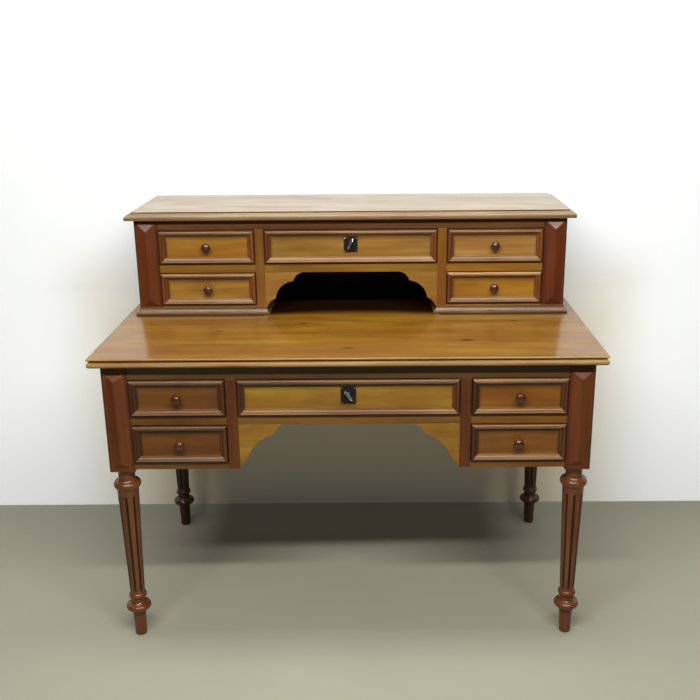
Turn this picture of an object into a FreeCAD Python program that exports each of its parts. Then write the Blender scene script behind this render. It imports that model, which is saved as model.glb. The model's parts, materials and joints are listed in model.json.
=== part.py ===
import FreeCAD, Part
import Sketcher
import math
import os
import re

# A writing desk in two stages: a table on four turned and fluted legs with
# five drawers round a kneehole, and a low cabinet of five more drawers round
# an open arched niche at the back of its top. Millimetres throughout. The
# drawers face -Y, Z is up from the floor and X = 0 halves the width.

doc = FreeCAD.newDocument("BonheurDuJour")
sheet = doc.addObject("Spreadsheet::Sheet", "Size")

SIZES = {
    # The writing top and how far it stands out past the frame below.
    "top_width": 1200,
    "top_depth": 700,
    "desk_height": 757,
    "top_thickness": 23,
    "base_setback": 25,
    # Its moulded edge: a thin rounded lip, a dark quirk, then a torus.
    "edge_width": 12,
    "lip_radius": 2.5,
    "quirk_height": 4,
    # Square block of each leg, and how far it runs below the rails.
    "leg_block": 60,
    "leg_block_drop": 7,
    # Turned part of each leg, from the floor up.
    "foot_radius": 14,
    "foot_chamfer": 1.5,
    "foot_height": 72,
    "ankle_radius": 16.8,
    "ring_radius": 31,
    "ring_height": 22,
    "ring_round": 10,
    "ring_rim": 5,
    "ring_rim_fall": 4,
    "rim_quirk": 1,
    "dish_round": 14,
    "waist_radius": 17.5,
    "waist_height": 12,
    "bead_radius": 22.3,
    "bead_height": 16,
    "bead_round": 9,
    "shaft_low_radius": 18,
    "shaft_high_radius": 26,
    "collar_radius": 33,
    "collar_height": 33,
    "collar_round": 12,
    "collar_rim": 4.5,
    "collar_rim_fall": 10,
    "neck_radius": 20,
    "neck_height": 24,
    "neck_cove": 17,
    "neck_cove_height": 16,
    "flare_radius": 27,
    # Flutes of the leg: tapering hollows with rounded ends.
    "flute_count": 8,
    "flute_low_radius": 3,
    "flute_high_radius": 4.2,
    "flute_low_depth": 2,
    "flute_high_depth": 2.7,
    "flute_low_margin": 5,
    "flute_high_margin": 13,
    # Faceted prisms on the front posts.
    "prism_rise": 9,
    "prism_ridge": 1,
    "base_prism_width": 42,
    "base_prism_hip": 15,
    "base_prism_top_margin": 24,
    "base_prism_foot_margin": 10,
    "hutch_prism_width": 46,
    "hutch_prism_hip": 20,
    "hutch_prism_top_margin": 11,
    "hutch_prism_foot_margin": 3,
    # Front of the table, from the top down.
    "base_top_rail": 35,
    "base_upper_opening": 92,
    "base_mid_rail": 22,
    "base_lower_opening": 96,
    "base_bottom_rail": 17,
    "base_centre_opening": 524,
    "base_divider": 26,
    "rail_thickness": 20,
    # Panels of the table.
    "panel_recess": 4,
    "base_side_thickness": 18,
    "base_back_thickness": 15,
    # Boards that carry the drawers, strips that guide and hold them down.
    "dust_board": 8,
    "guide_height": 20,
    "kicker_width": 18,
    # Shaped brackets under the centre rail of the table.
    "bracket_thickness": 20,
    "base_bracket_reach": 104,
    "base_bracket_drop": 111,
    "base_lobe_a_run": 19,
    "base_lobe_a_fall": 24,
    "base_lobe_a_radius": 45,
    "base_lobe_b_run": 66,
    "base_lobe_b_fall": 64,
    "base_lobe_b_radius": 94,
    "base_lobe_c_radius": 45,
    # Shaped brackets of the arched niche.
    "hutch_bracket_reach": 100,
    "hutch_lobe_a_run": 26,
    "hutch_lobe_a_fall": 24,
    "hutch_lobe_a_radius": 32,
    "hutch_lobe_b_run": 48,
    "hutch_lobe_b_fall": 47,
    "hutch_lobe_b_radius": 52,
    "hutch_lobe_c_radius": 36,
    "bracket_toe": 3,
    # The cabinet on the top: its place, its posts and panels.
    "hutch_inset": 35,
    "hutch_setback": 392,
    "hutch_rear_gap": 10,
    "hutch_post": 60,
    "hutch_post_depth": 45,
    "hutch_side_thickness": 18,
    "hutch_back_thickness": 10,
    # Front of the cabinet, from its foot up.
    "hutch_bottom_rail": 25,
    "hutch_lower_opening": 88,
    "hutch_mid_rail": 23,
    "hutch_upper_opening": 92,
    "hutch_top_rail": 27,
    "hutch_centre_opening": 456,
    "hutch_divider": 24,
    # Cabinet top: a small step, then a thumb moulding down to the nose.
    "hutch_top_thickness": 20,
    "hutch_overhang": 20,
    "hutch_edge_width": 17,
    "hutch_edge_step": 2.5,
    "hutch_nose_height": 7,
    "hutch_nose_round": 2,
    # Moulding round the foot of the cabinet.
    "plinth_width": 10,
    "plinth_height": 20,
    "plinth_fillet": 6,
    "plinth_step": 2,
    "plinth_cove": 13,
    # Drawers.
    "front_gap": 1,
    "running_gap": 0.3,
    "front_thickness": 20,
    "box_rear_gap": 40,
    "drawer_side": 10,
    "drawer_back": 10,
    "drawer_bottom": 5,
    "bottom_lift": 6,
    "rim_drop": 9,
    "back_drop": 6,
    # Mitred moulding round each drawer front.
    "frame_width": 17.5,
    "frame_rise": 8,
    "frame_outer_step": 2,
    "frame_ovolo": 6,
    "frame_flat": 2.5,
    "frame_quirk": 1,
    "frame_cove": 8,
    "frame_inner_step": 1.5,
    # Turned knob with its tenon.
    "knob_radius": 12,
    "knob_reach": 22,
    "knob_belly": 13.5,
    "knob_neck": 5,
    "knob_neck_reach": 5,
    "knob_seat": 7.5,
    "knob_seat_thickness": 1.5,
    "knob_tenon": 4,
    "knob_tenon_length": 15,
    "tenon_gap": 0.15,
    # Lock plate and lock of the two centre drawers.
    "plate_width": 36,
    "plate_height": 42,
    "plate_thickness": 1.6,
    "plate_margin": 1,
    "keyhole_lift": 4,
    "keyhole_radius": 3,
    "keyhole_slot": 2.8,
    "keyhole_drop": 7,
    "lock_width": 58,
    "lock_height": 50,
    "lock_depth": 11,
    "lock_gap": 0.2,
    "lock_wall": 2.5,
    # Bolt, with the lug at one side that the key's bit lifts.
    "bolt_width": 17,
    "bolt_thickness": 5,
    "bolt_height": 26,
    "bolt_gap": 0.4,
    "bolt_travel": 8,
    "lug_inner": 4.8,
    "base_lug_drop": 3,
    "hutch_lug_drop": 4.2,
    # Key: round shaft, flat bit, collar and an oval ring as its bow. The
    # turns are degrees clockwise that the bit stands from level.
    "key_shaft": 2.4,
    "bit_reach": 5.67,
    "bit_thickness": 2,
    "bit_gap": 0.3,
    "chamber_gap": 0.8,
    "key_collar": 4,
    "key_collar_start": 2.2,
    "key_collar_end": 4.2,
    "bow_start": 5.8,
    "bow_length": 34,
    "bow_width": 19,
    "bow_rim": 4.2,
    "bow_thickness": 3,
    "base_key_turn": 51,
    "hutch_key_turn": 116,
}

for row, (name, number) in enumerate(SIZES.items(), start=1):
    sheet.set("A%d" % row, name.replace("_", " "))
    sheet.set("B%d" % row, str(number))
    sheet.setAlias("B%d" % row, name)
doc.recompute()


def formula(text):
    """Point each size named in a formula at its cell."""
    def cell(word):
        return "Size." + word.group() if word.group() in SIZES else word.group()
    return re.sub(r"[a-z][a-z_]*", cell, text)


def number(text):
    """What a formula comes to with the sizes as they stand."""
    return float(sheet.evalExpression(formula(text)))


def bind(item, prop, text):
    item.setExpression(prop, formula(text))


pieces = {}


def piece(name, item):
    """Name a finished piece so that it is exported."""
    item.Label = name
    pieces[name] = item
    return item


# ---------------------------------------------------------------- builders


def board(name, x, y, z):
    """A plain board between two limits on each axis."""
    box = doc.addObject("Part::Box", name)
    for side, axis, limits in zip(("Length", "Width", "Height"), "xyz", (x, y, z)):
        low, high = limits
        bind(box, side, "(%s) - (%s)" % (high, low))
        bind(box, "Placement.Base." + axis, low)
    return box


def group(name, members):
    """Separate boards that are handled as one piece of the frame."""
    bundle = doc.addObject("Part::Compound", name)
    bundle.Links = members
    return piece(name, bundle)


def new_body(name, x="0", y="0", z="0", turn=0):
    body = doc.addObject("PartDesign::Body", name)
    body.Placement = FreeCAD.Placement(
        FreeCAD.Vector(), FreeCAD.Rotation(FreeCAD.Vector(0, 0, 1), turn))
    for axis, text in zip("xyz", (x, y, z)):
        bind(body, "Placement.Base." + axis, text)
    return body


def origin(body, role):
    return [item for item in body.Origin.OriginFeatures if item.Role == role][0]


def outline(body, role, name, corners, lift="0", closed=True):
    """Sketch through corners (u, v) on an origin plane.

    A corner (u, v, r) starts an arc of radius r to the next corner. The
    arc turns left for a plus sign and right for a minus sign.
    """
    sketch = body.newObject("Sketcher::SketchObject", name)
    sketch.AttachmentSupport = [(origin(body, role), "")]
    sketch.MapMode = "FlatFace"
    bind(sketch, "AttachmentOffset.Base.z", lift)
    spots = [(number(corner[0]), number(corner[1])) for corner in corners]
    count = len(corners)
    ends = []
    for i in range(count if closed else count - 1):
        start, end = spots[i], spots[(i + 1) % count]
        a = FreeCAD.Vector(start[0], start[1], 0)
        b = FreeCAD.Vector(end[0], end[1], 0)
        if len(corners[i]) == 2:
            sketch.addGeometry(Part.LineSegment(a, b), False)
            ends.append((1, 2))
            continue
        radius = number(corners[i][2])
        left = corners[i][3] == "left"
        chord = b - a
        across = FreeCAD.Vector(-chord.y, chord.x, 0).normalize()
        rise = math.sqrt(radius ** 2 - (chord.Length / 2) ** 2)
        centre = (a + b) / 2 + across * (rise if left else -rise)
        first, last = (a, b) if left else (b, a)
        angles = [math.atan2(p.y - centre.y, p.x - centre.x) for p in (first, last)]
        circle = Part.Circle(centre, FreeCAD.Vector(0, 0, 1), radius)
        sketch.addGeometry(Part.ArcOfCircle(circle, angles[0], angles[1]), False)
        ends.append((1, 2) if left else (2, 1))
    drawn = len(ends)
    for i in range(drawn if closed else drawn - 1):
        following = (i + 1) % drawn
        sketch.addConstraint(Sketcher.Constraint(
            "Coincident", i, ends[i][1], following, ends[following][0]))
    for i, corner in enumerate(corners):
        edge, end = (i, ends[i][0]) if i < drawn else (i - 1, ends[i - 1][1])
        for kind, text, at in zip(("DistanceX", "DistanceY"), corner[:2], spots[i]):
            row = sketch.addConstraint(Sketcher.Constraint(kind, -1, 1, edge, end, at))
            bind(sketch, "Constraints[%d]" % row, text)
        if len(corner) > 2:
            row = sketch.addConstraint(Sketcher.Constraint("Radius", i, number(corner[2])))
            bind(sketch, "Constraints[%d]" % row, corner[2])
    return sketch


def rectangle(body, role, name, u, v, lift="0"):
    corners = [(u[0], v[0]), (u[1], v[0]), (u[1], v[1]), (u[0], v[1])]
    return outline(body, role, name, corners, lift)


def disc(body, role, name, u, v, radius, lift="0"):
    """Sketch of one circle on an origin plane."""
    sketch = body.newObject("Sketcher::SketchObject", name)
    sketch.AttachmentSupport = [(origin(body, role), "")]
    sketch.MapMode = "FlatFace"
    bind(sketch, "AttachmentOffset.Base.z", lift)
    middle = FreeCAD.Vector(number(u), number(v), 0)
    sketch.addGeometry(Part.Circle(middle, FreeCAD.Vector(0, 0, 1), number(radius)), False)
    for kind, text, at in (("DistanceX", u, middle.x), ("DistanceY", v, middle.y)):
        row = sketch.addConstraint(Sketcher.Constraint(kind, -1, 1, 0, 3, at))
        bind(sketch, "Constraints[%d]" % row, text)
    row = sketch.addConstraint(Sketcher.Constraint("Radius", 0, number(radius)))
    bind(sketch, "Constraints[%d]" % row, radius)
    return sketch


def feature(body, kind, name, sketch, length=None, back=False):
    item = body.newObject("PartDesign::" + kind, name)
    item.Profile = sketch
    if length is not None:
        bind(item, "Length", length)
    item.Reversed = back
    body.Tip = item
    return item


def run_moulding(body, name, section, path, edges):
    """Carry a moulding's section along a path with mitred corners."""
    item = body.newObject("PartDesign::AdditivePipe", name)
    item.Profile = section
    item.Spine = (path, ["Edge%d" % (i + 1) for i in range(edges)])
    item.Transition = "Right corner"
    body.Tip = item
    return item


def prism(body, name, width, hip, face, low, high):
    """Hipped prism that stands out of the post's front face at y = face."""
    item = body.newObject("PartDesign::AdditiveWedge", name)
    bind(item, "Ymin", "(%s) - prism_rise" % face)
    bind(item, "Ymax", face)
    bind(item, "Xmin", "-prism_ridge / 2")
    bind(item, "Xmax", "prism_ridge / 2")
    bind(item, "Zmin", "(%s) + %s" % (low, hip))
    bind(item, "Zmax", "(%s) - %s" % (high, hip))
    bind(item, "X2min", "-%s / 2" % width)
    bind(item, "X2max", "%s / 2" % width)
    bind(item, "Z2min", low)
    bind(item, "Z2max", high)
    body.Tip = item
    return item


# ------------------------------------------------------- planes and levels

top_front = "(-top_depth / 2)"
top_rear = "(top_depth / 2)"
top_side = "(top_width / 2)"
base_front = "(base_setback - top_depth / 2)"
base_rear = "(top_depth / 2 - base_setback)"
base_out = "(top_width / 2 - base_setback)"
base_in = "(top_width / 2 - base_setback - leg_block)"
base_under = "(desk_height - top_thickness)"

base_z = [base_under]
for part_of_front in ("base_top_rail", "base_upper_opening", "base_mid_rail",
                      "base_lower_opening", "base_bottom_rail"):
    base_z.append("(%s - %s)" % (base_z[-1], part_of_front))
block_foot = "(%s - leg_block_drop)" % base_z[5]

hutch_front = "(hutch_setback - top_depth / 2)"
hutch_rear = "(top_depth / 2 - hutch_rear_gap)"
hutch_out = "(top_width / 2 - hutch_inset)"
hutch_in = "(top_width / 2 - hutch_inset - hutch_post)"

rising = ["(desk_height)"]
for part_of_front in ("hutch_bottom_rail", "hutch_lower_opening", "hutch_mid_rail",
                      "hutch_upper_opening", "hutch_top_rail"):
    rising.append("(%s + %s)" % (rising[-1], part_of_front))
hutch_z = rising[::-1]


def stage(prefix, hand, front, back, bay_out, post_back, guide_out, guide_end, levels):
    """Limits that the boards and drawers of one stage share."""
    return {
        "prefix": prefix,
        "hand": hand,
        "front": front,
        "inner": "(%s + rail_thickness)" % front,
        "back": back,
        "bay_out": bay_out,
        "post_back": post_back,
        "guide_out": guide_out,
        "guide_end": guide_end,
        "divider_in": "(%s_centre_opening / 2)" % prefix,
        "divider_out": "(%s_centre_opening / 2 + %s_divider)" % (prefix, prefix),
        "z": levels,
    }


base = stage(
    "base", "right", base_front,
    "(%s - panel_recess - base_back_thickness)" % base_rear,
    base_in,
    "(%s + leg_block)" % base_front,
    "(%s - panel_recess - base_side_thickness)" % base_out,
    "(%s - leg_block)" % base_rear,
    base_z)
hutch = stage(
    "hutch", "left", hutch_front,
    "(%s - hutch_back_thickness)" % hutch_rear,
    hutch_in,
    "(%s + hutch_post_depth)" % hutch_front,
    "(%s - hutch_side_thickness)" % hutch_out,
    "(%s - hutch_back_thickness)" % hutch_rear,
    hutch_z)


def span(side, near, far):
    """Limits in x on the left or the right, low one first."""
    if side == "right":
        return near, far
    return "(-(%s))" % far, "(-(%s))" % near


# -------------------------------------------------------------------- legs


def leg(name, x, y, faceted):
    """Square block over a turned, tapered and fluted leg."""
    body = new_body(name, x, y)
    half = "leg_block / 2"
    square = rectangle(body, "XY_Plane", name + "_square",
                       ("-" + half, half), ("-" + half, half), block_foot)
    feature(body, "Pad", name + "_block", square, "%s - %s" % (base_under, block_foot))

    ring_top = "(foot_height + ring_height)"
    bead_foot = "(%s + waist_height)" % ring_top
    shaft_foot = "(%s + bead_height)" % bead_foot
    rim = "(%s - ring_rim_fall)" % ring_top
    collar_top = "(%s - neck_height)" % block_foot
    collar_rim = "(%s - collar_rim_fall)" % collar_top
    shaft_top = "(%s - collar_height)" % collar_top
    corners = [
        ("0", "0"),
        ("foot_radius - foot_chamfer", "0"),
        ("foot_radius", "foot_chamfer"),
        ("ankle_radius", "foot_height"),
        ("(ankle_radius + ring_radius) / 2 - 2", "foot_height + 1", "ring_round", "left"),
        ("ring_radius", "foot_height + ring_height / 2", "ring_round", "left"),
        ("ring_radius - ring_rim", rim),
        ("ring_radius - ring_rim - rim_quirk", rim + " - rim_quirk", "dish_round", "right"),
        ("waist_radius", ring_top),
        ("waist_radius", bead_foot, "bead_round", "left"),
        ("bead_radius", bead_foot + " + bead_height / 2", "bead_round", "left"),
        ("waist_radius + 1", shaft_foot + " - 1"),
        ("shaft_low_radius", shaft_foot),
        ("shaft_high_radius", shaft_top),
        ("shaft_high_radius + 1.5", shaft_top + " + 5"),
        ("shaft_high_radius + 3", shaft_top + " + 6", "collar_round", "left"),
        ("collar_radius", shaft_top + " + collar_height / 2 - 1", "collar_round", "left"),
        ("collar_radius - collar_rim", collar_rim),
        ("collar_radius - collar_rim - rim_quirk", collar_rim + " - rim_quirk",
         "dish_round", "right"),
        ("neck_radius", collar_top),
        ("neck_radius", block_foot + " - neck_cove_height", "neck_cove", "right"),
        ("flare_radius", block_foot),
        ("0", block_foot),
    ]
    turned = outline(body, "XZ_Plane", name + "_turning", corners)
    shaft = feature(body, "Revolution", name + "_turned", turned)
    shaft.ReferenceAxis = (turned, ["V_Axis"])

    low = "(%s + flute_low_margin + flute_low_radius)" % shaft_foot
    high = "(%s - flute_high_margin - flute_high_radius)" % shaft_top
    low_x = "(shaft_low_radius + flute_low_radius - flute_low_depth)"
    high_x = "(shaft_high_radius + flute_high_radius - flute_high_depth)"
    hollow = outline(body, "XZ_Plane", name + "_hollow", [
        (low_x, low + " - flute_low_radius", "flute_low_radius * 1.001", "right"),
        (low_x + " - flute_low_radius", low),
        (high_x + " - flute_high_radius", high, "flute_high_radius * 1.001", "right"),
        (high_x, high + " + flute_high_radius"),
    ])
    axis = hollow.addGeometry(Part.LineSegment(
        FreeCAD.Vector(number(low_x), number(low) - number("flute_low_radius"), 0),
        FreeCAD.Vector(number(high_x), number(high) + number("flute_high_radius"), 0)), True)
    hollow.addConstraint(Sketcher.Constraint("Coincident", axis, 1, 3, 2))
    hollow.addConstraint(Sketcher.Constraint("Coincident", axis, 2, 3, 1))
    flute = feature(body, "Groove", name + "_flute", hollow)
    flute.ReferenceAxis = (hollow, ["Axis0"])
    ring = body.newObject("PartDesign::PolarPattern", name + "_flutes")
    ring.Originals = [flute]
    ring.Axis = (origin(body, "Z_Axis"), [""])
    body.Tip = ring
    bind(ring, "Occurrences", "flute_count")
    if faceted:
        prism(body, name + "_prism", "base_prism_width", "base_prism_hip", "-leg_block / 2",
              block_foot + " + base_prism_foot_margin",
              base_under + " - base_prism_top_margin")
    return piece(name, body)


leg_x = "(%s - leg_block / 2)" % base_out
leg_y = "(%s + leg_block / 2)" % base_front
leg("leg_front_left", "-" + leg_x, leg_y, True)
leg("leg_front_right", leg_x, leg_y, True)
leg("leg_rear_left", "-" + leg_x, "-" + leg_y, False)
leg("leg_rear_right", leg_x, "-" + leg_y, False)

# -------------------------------------------------------------- writing top

slab = new_body("main_top", "0", "0", base_under)
core_x = "(%s - edge_width)" % top_side
core_front = "(%s + edge_width)" % top_front
core = rectangle(slab, "XY_Plane", "main_core_outline",
                 ("-" + core_x, core_x), (core_front, top_rear))
feature(slab, "Pad", "main_core", core, "top_thickness")
main_path = outline(slab, "XY_Plane", "main_edge_path", [
    ("-" + core_x, top_rear), ("-" + core_x, core_front),
    (core_x, core_front), (core_x, top_rear)], closed=False)
torus = "((top_thickness - 2 * lip_radius - quirk_height) / 2)"
nose = "(-%s - edge_width)" % core_x
main_section = outline(slab, "XZ_Plane", "main_edge_section", [
    ("-" + core_x, "top_thickness"),
    (nose + " + lip_radius", "top_thickness", "lip_radius * 1.001", "left"),
    (nose, "top_thickness - lip_radius", "lip_radius * 1.001", "left"),
    (nose + " + lip_radius", "top_thickness - 2 * lip_radius"),
    (nose + " + " + torus, "top_thickness - 2 * lip_radius"),
    (nose + " + " + torus, "2 * " + torus, torus + " * 1.001", "left"),
    (nose, torus, torus + " * 1.001", "left"),
    (nose + " + " + torus, "0"),
    ("-" + core_x, "0"),
], "-" + top_rear)
run_moulding(slab, "main_edge", main_section, main_path, 3)
piece("main_top", slab)

# ------------------------------------------------- boards inside each stage


def divider(s, side):
    """Upright board whose front edge is the stile beside the opening."""
    name = "%s_divider_%s" % (s["prefix"], side)
    body = new_body(name, span(side, s["divider_in"], s["divider_out"])[0])
    z = s["z"]
    profile = outline(body, "YZ_Plane", name + "_outline", [
        (s["front"], z[5]), (s["back"], z[5]), (s["back"], z[0]),
        (s["inner"], z[0]), (s["inner"], z[1]), (s["front"], z[1])])
    feature(body, "Pad", name + "_board", profile, s["prefix"] + "_divider")
    return piece(name, body)


def shelf(s, name, x, top, foot, guides):
    """Front rail with the board behind it that carries a drawer."""
    rail = board(name + "_rail", x, (s["front"], s["inner"]), (foot, top))
    carrier = board(name + "_board", x, (s["inner"], s["back"]),
                    ("(%s) - dust_board" % top, top))
    members = [rail, carrier]
    for near, far in guides:
        members.append(board(name + "_guide", (near, far), (s["post_back"], s["guide_end"]),
                             ("(%s) - dust_board" % top, "(%s) + guide_height" % top)))
    return members


def bank_shelves(s, side):
    """The two shelves of one bank of small drawers."""
    x = span(side, s["divider_out"], s["bay_out"])
    guide = [span(side, s["bay_out"], s["guide_out"])]
    name = "%s_shelves_%s" % (s["prefix"], side)
    z = s["z"]
    upper = shelf(s, name + "_upper", x, z[2], z[3], guide)
    lower = shelf(s, name + "_lower", x, z[4], z[5], guide)
    return group(name, upper + lower)


def centre_shelf(s):
    x = ("-" + s["divider_in"], s["divider_in"])
    name = s["prefix"] + "_shelf_centre"
    z = s["z"]
    return group(name, shelf(s, name, x, z[2], z[3], []))


def top_rail(s):
    """Rail over the drawers, mortised for the bolt, with its kickers."""
    name = s["prefix"] + "_top_rail"
    z = s["z"]
    body = new_body(name + "_front", "0", s["front"])
    face = rectangle(body, "XZ_Plane", name + "_face",
                     ("-" + s["bay_out"], s["bay_out"]), (z[1], z[0]))
    feature(body, "Pad", name + "_board", face, "rail_thickness", True)
    half = "(bolt_width / 2 + bolt_gap)"
    middle = "(front_thickness - lock_depth / 2)"
    thick = "(bolt_thickness / 2 + bolt_gap)"
    mouth = rectangle(body, "XY_Plane", name + "_mortise_outline", ("-" + half, half),
                      (middle + " - " + thick, middle + " + " + thick), z[1])
    feature(body, "Pocket", name + "_mortise", mouth, "bolt_travel + bolt_gap", True)
    members = [body]
    strips = [
        (s["divider_in"] + " - kicker_width", s["divider_in"]),
        (s["divider_out"], s["divider_out"] + " + kicker_width"),
        (s["bay_out"] + " - kicker_width", s["bay_out"]),
    ]
    for side in ("left", "right"):
        for near, far in strips:
            members.append(board(name + "_kicker", span(side, near, far),
                                 (s["inner"], s["back"]), (z[1], z[0])))
    return group(name, members)


def bracket(s, side, reach, drop):
    """Bracket in the corner below the centre rail, cut to three lobes."""
    name = "%s_bracket_%s" % (s["prefix"], side)
    lobe = s["prefix"] + "_lobe_"
    if side == "left":
        body = new_body(name, "-" + s["divider_in"], s["front"], s["z"][3])
    else:
        body = new_body(name, s["divider_in"], s["front"] + " + bracket_thickness",
                        s["z"][3], turn=180)
    first = ("(%s - %sa_run)" % (reach, lobe), "(%sa_fall)" % lobe)
    second = ("%s - %sb_run" % (first[0], lobe), "%s + %sb_fall" % (first[1], lobe))
    cut = outline(body, "XZ_Plane", name + "_outline", [
        ("0", "0"),
        ("0", "-(%s)" % drop),
        ("bracket_toe", "-(%s)" % drop, lobe + "c_radius", "right"),
        (second[0], "-(%s)" % second[1], lobe + "b_radius", "right"),
        (first[0], "-%s" % first[1], lobe + "a_radius", "right"),
        (reach, "0"),
    ])
    feature(body, "Pad", name + "_board", cut, "bracket_thickness", True)
    return body


for s in (base, hutch):
    for side in ("left", "right"):
        divider(s, side)
        bank_shelves(s, side)
    centre_shelf(s)
    top_rail(s)
for s, reach, drop in ((base, "base_bracket_reach", "base_bracket_drop"),
                       (hutch, "hutch_bracket_reach",
                        "%s - desk_height - plinth_height" % hutch_z[3])):
    group(s["prefix"] + "_brackets", [bracket(s, "left", reach, drop),
                                      bracket(s, "right", reach, drop)])

# ------------------------------------------------------ panels of the table

side_x = ("(%s)" % base["guide_out"], "(%s - panel_recess)" % base_out)
panels = []
for side in ("left", "right"):
    panels.append(board("base_side_" + side, span(side, side_x[0], side_x[1]),
                        (base["post_back"], base["guide_end"]), (base_z[5], base_z[0])))
group("base_sides", panels)
piece("base_back", board("base_back", ("-" + base_in, base_in),
                         (base["back"], "%s - panel_recess" % base_rear),
                         (base_z[5], base_z[0])))

# ------------------------------------------------- shell of the upper stage


def hutch_side(side):
    """Faceted front post with the side panel behind it."""
    name = "hutch_side_" + side
    x = "(%s - hutch_post / 2)" % hutch_out
    body = new_body(name + "_post", x if side == "right" else "-" + x,
                    hutch_front, "desk_height")
    height = "(%s - desk_height)" % hutch_z[0]
    square = rectangle(body, "XY_Plane", name + "_square",
                       ("-hutch_post / 2", "hutch_post / 2"), ("0", "hutch_post_depth"))
    feature(body, "Pad", name + "_block", square, height)
    prism(body, name + "_prism", "hutch_prism_width", "hutch_prism_hip", "0",
          "plinth_height + hutch_prism_foot_margin", height + " - hutch_prism_top_margin")
    panel = board(name + "_panel", span(side, hutch["guide_out"], hutch_out),
                  (hutch["post_back"], hutch_rear), ("desk_height", hutch_z[0]))
    return group(name, [body, panel])


hutch_side("left")
hutch_side("right")
piece("hutch_back", board("hutch_back", ("-" + hutch["guide_out"], hutch["guide_out"]),
                          (hutch["back"], hutch_rear), ("desk_height", hutch_z[0])))

cap = new_body("hutch_top", "0", "0", hutch_z[0])
cap_x = "(%s + hutch_overhang - hutch_edge_width)" % hutch_out
cap_front = "(%s - hutch_overhang + hutch_edge_width)" % hutch_front
cap_core = rectangle(cap, "XY_Plane", "hutch_core_outline",
                     ("-" + cap_x, cap_x), (cap_front, top_rear))
feature(cap, "Pad", "hutch_core", cap_core, "hutch_top_thickness")
cap_path = outline(cap, "XY_Plane", "hutch_edge_path", [
    ("-" + cap_x, top_rear), ("-" + cap_x, cap_front),
    (cap_x, cap_front), (cap_x, top_rear)], closed=False)
cap_nose = "(-%s - hutch_edge_width)" % cap_x
thumb_top = "(hutch_top_thickness - hutch_edge_step)"
thumb_foot = "(hutch_nose_height + hutch_nose_round)"
thumb_fall = "(%s - %s)" % (thumb_top, thumb_foot)
thumb = "((hutch_edge_width ^ 2 + %s ^ 2) / (2 * %s))" % (thumb_fall, thumb_fall)
cap_section = outline(cap, "XZ_Plane", "hutch_edge_section", [
    ("-" + cap_x, thumb_top, thumb + " * 1.001", "left"),
    (cap_nose, thumb_foot),
    (cap_nose, "hutch_nose_round", "hutch_nose_round * 1.001", "left"),
    (cap_nose + " + hutch_nose_round", "0"),
    ("-" + cap_x, "0"),
], "-" + top_rear)
run_moulding(cap, "hutch_edge", cap_section, cap_path, 3)
piece("hutch_top", cap)


def plinth(side):
    """Moulding round the foot of one bank: outside, front and inside."""
    name = "hutch_plinth_" + side
    sign = "-1 * " if side == "left" else ""
    body = new_body(name, "0", "0", "desk_height")
    path = outline(body, "XY_Plane", name + "_path", [
        (sign + hutch_out, hutch_rear), (sign + hutch_out, hutch_front),
        (sign + hutch["divider_in"], hutch_front),
        (sign + hutch["divider_in"], hutch["back"])], closed=False)
    steps = [
        ("0", "0"), ("plinth_width", "0"), ("plinth_width", "plinth_fillet"),
        ("plinth_width - plinth_step", "plinth_fillet"),
        ("plinth_step", "plinth_height - plinth_step"),
        ("plinth_step", "plinth_height"), ("0", "plinth_height"),
    ]
    corners = [("%s(%s + %s)" % (sign, hutch_out, u), v) for u, v in steps]
    corners[3] += ("plinth_cove", "left" if side == "left" else "right")
    section = outline(body, "XZ_Plane", name + "_section", corners, "-" + hutch_rear)
    run_moulding(body, name + "_run", section, path, 3)
    return body


group("hutch_plinth", [plinth("left"), plinth("right")])

# ------------------------------------------------------------------ drawers


def drawer_front(name, x, front, z, small):
    """Front board with its mitred moulding, bored for a knob or a lock."""
    width = "(%s - (%s) - 2 * front_gap)" % (x[1], x[0])
    height = "(%s - (%s) - 2 * front_gap)" % (z[1], z[0])
    body = new_body(name, "((%s) + (%s)) / 2" % x, front, z[0] + " + front_gap")
    half = "(%s / 2)" % width
    face = rectangle(body, "XZ_Plane", name + "_face", ("-" + half, half), ("0", height))
    feature(body, "Pad", name + "_board", face, "front_thickness", True)
    path = outline(body, "XZ_Plane", name + "_path", [
        ("0", "0"), (half, "0"), (half, height), ("-" + half, height), ("-" + half, "0")])
    ridge = "(frame_outer_step + frame_ovolo)"
    flat_end = "(frame_ovolo + frame_flat)"
    section = outline(body, "YZ_Plane", name + "_section", [
        ("0", "0"),
        ("-frame_outer_step", "0", "frame_ovolo * 1.001", "right"),
        ("-" + ridge, "frame_ovolo"),
        ("-" + ridge, flat_end),
        ("-(%s - frame_quirk)" % ridge, flat_end, "frame_cove", "left"),
        ("-frame_inner_step", "frame_width - frame_inner_step"),
        ("-frame_inner_step", "frame_width"),
        ("0", "frame_width"),
    ])
    run_moulding(body, name + "_moulding", section, path, 5)
    if small:
        bore = disc(body, "XZ_Plane", name + "_bore_outline", "0", height + " / 2",
                    "knob_tenon + tenon_gap")
        feature(body, "Pocket", name + "_bore", bore, "knob_tenon_length + tenon_gap")
    else:
        wide = "(lock_width / 2 + lock_gap)"
        recess = rectangle(body, "XZ_Plane", name + "_recess_outline", ("-" + wide, wide),
                           (height + " - lock_height - lock_gap", height + " + 1"),
                           "-front_thickness")
        feature(body, "Pocket", name + "_recess", recess, "lock_depth + lock_gap", True)
        keyhole(body, name, key_level(height), "front_thickness")
    return piece(name, body)


def plate_middle(height):
    return "(%s - frame_width - plate_margin - plate_height / 2)" % height


def key_level(height):
    return "(%s + keyhole_lift)" % plate_middle(height)


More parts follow.
